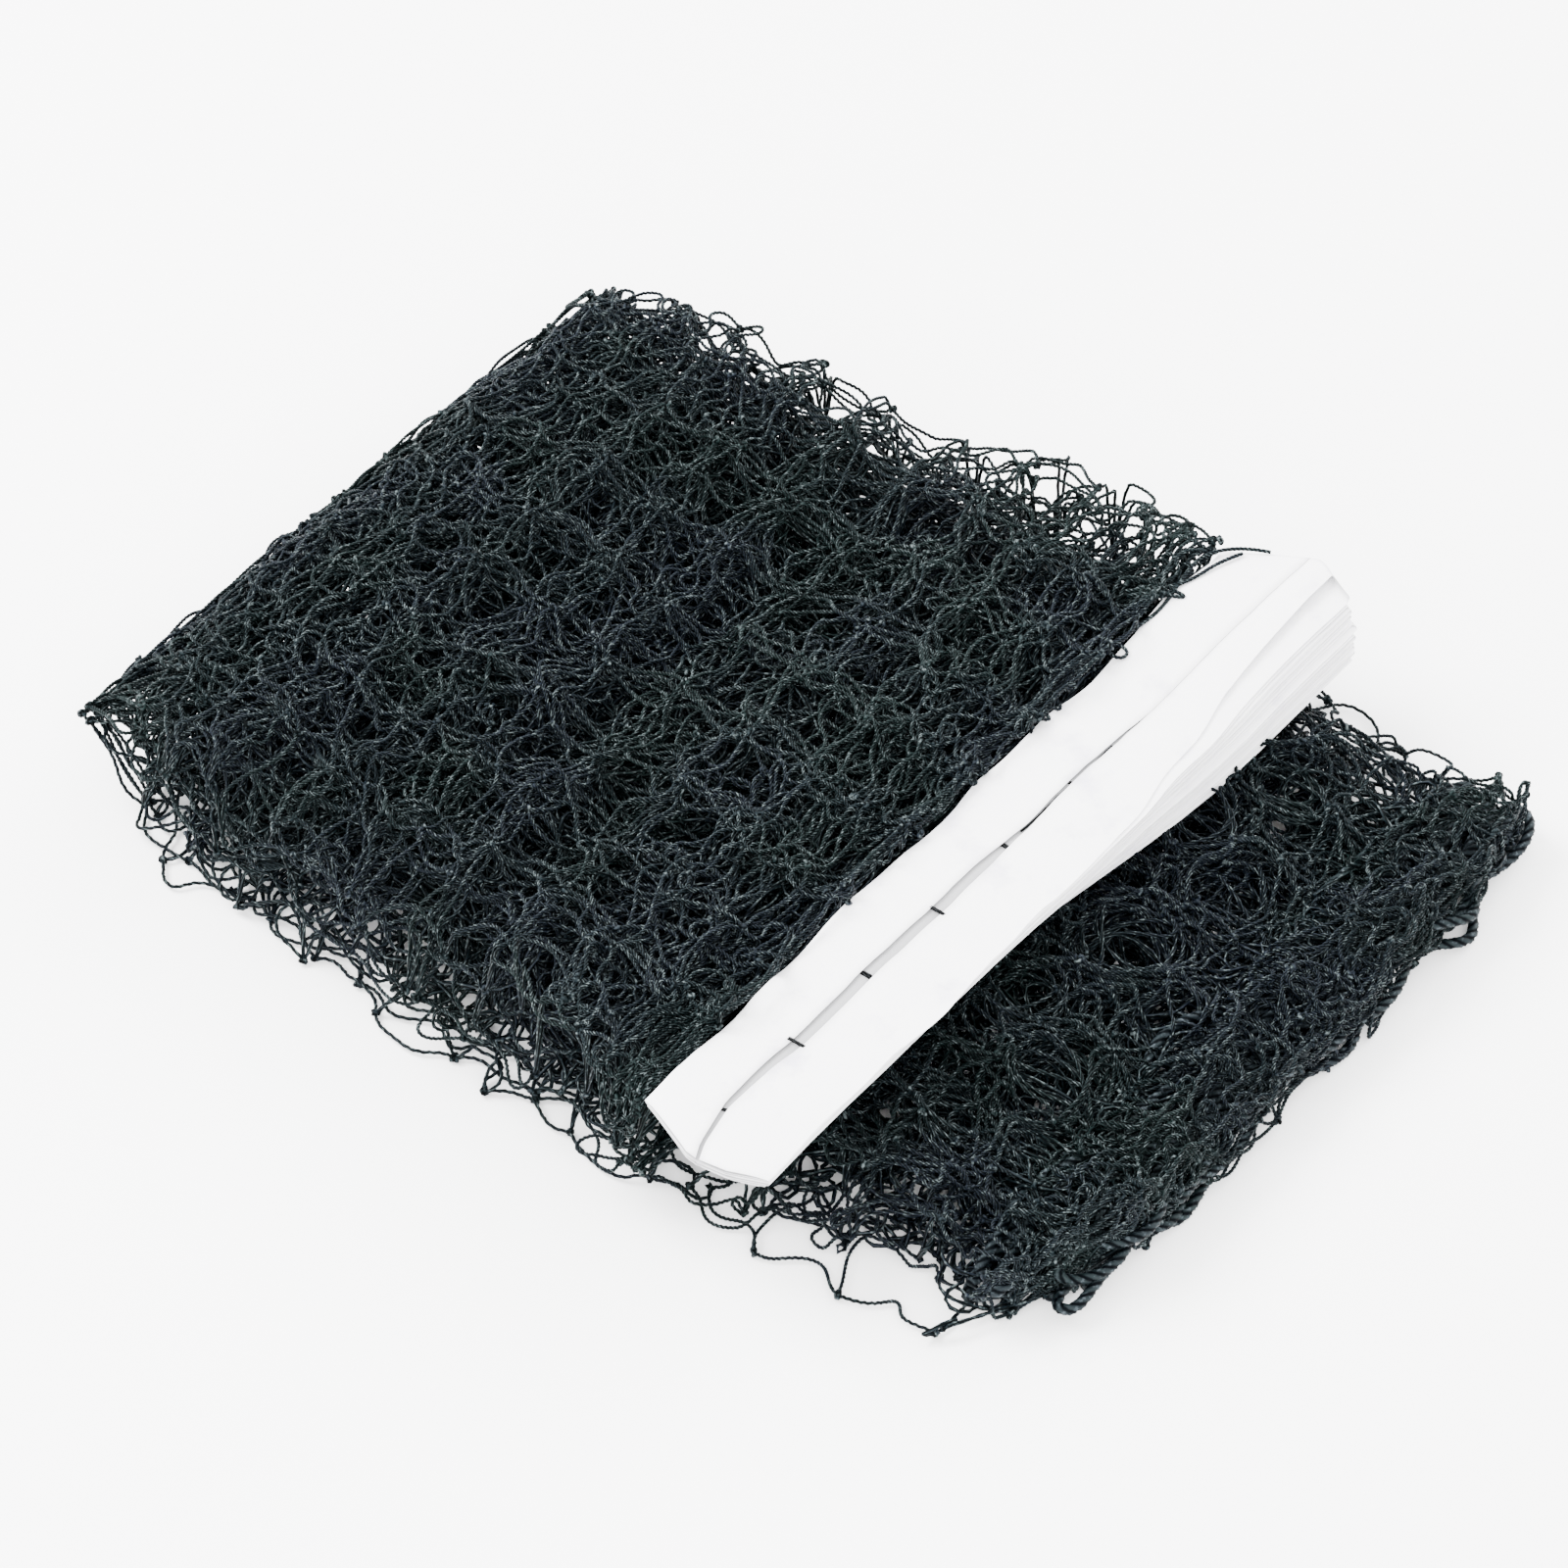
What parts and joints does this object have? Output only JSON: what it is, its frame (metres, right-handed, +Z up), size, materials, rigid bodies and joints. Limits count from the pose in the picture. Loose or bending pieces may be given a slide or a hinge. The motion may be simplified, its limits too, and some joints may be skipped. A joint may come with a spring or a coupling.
{
  "type": "tennis net",
  "caption": "Knotted twine tennis net folded into a flat bundle, with a white cloth headband in stacked zigzag layers and a rope along its bottom edge.",
  "frame": {"origin": "on the floor under the middle of the folded bundle", "axes": "+X along the headband, +Y from the headband to the fold edge, +Z up"},
  "size_m": [0.432, 0.499, 0.0767],
  "materials": {
    "netting_twine": "dark green-blue laid polyethylene twine",
    "headband_cloth": "smooth white coated cloth with soft creases",
    "lacing_twine": "black twine",
    "rope": "dark blue-green laid rope"
  },
  "bodies": {
    "lower_half": {"netting_lower_half": "netting_twine", "netting_fold_edge": "netting_twine", "bottom_rope": "rope"},
    "upper_half": {"netting_upper_half": "netting_twine", "headband": "headband_cloth", "headband_lacing": "lacing_twine"}
  },
  "joints": [
    {"name": "unfold", "type": "hinge", "parent": "lower_half", "child": "upper_half", "pos_m": [0, 0.242, 0.0385], "axis": [-1, 0, 0], "range_deg": [0, 178]}
  ]
}
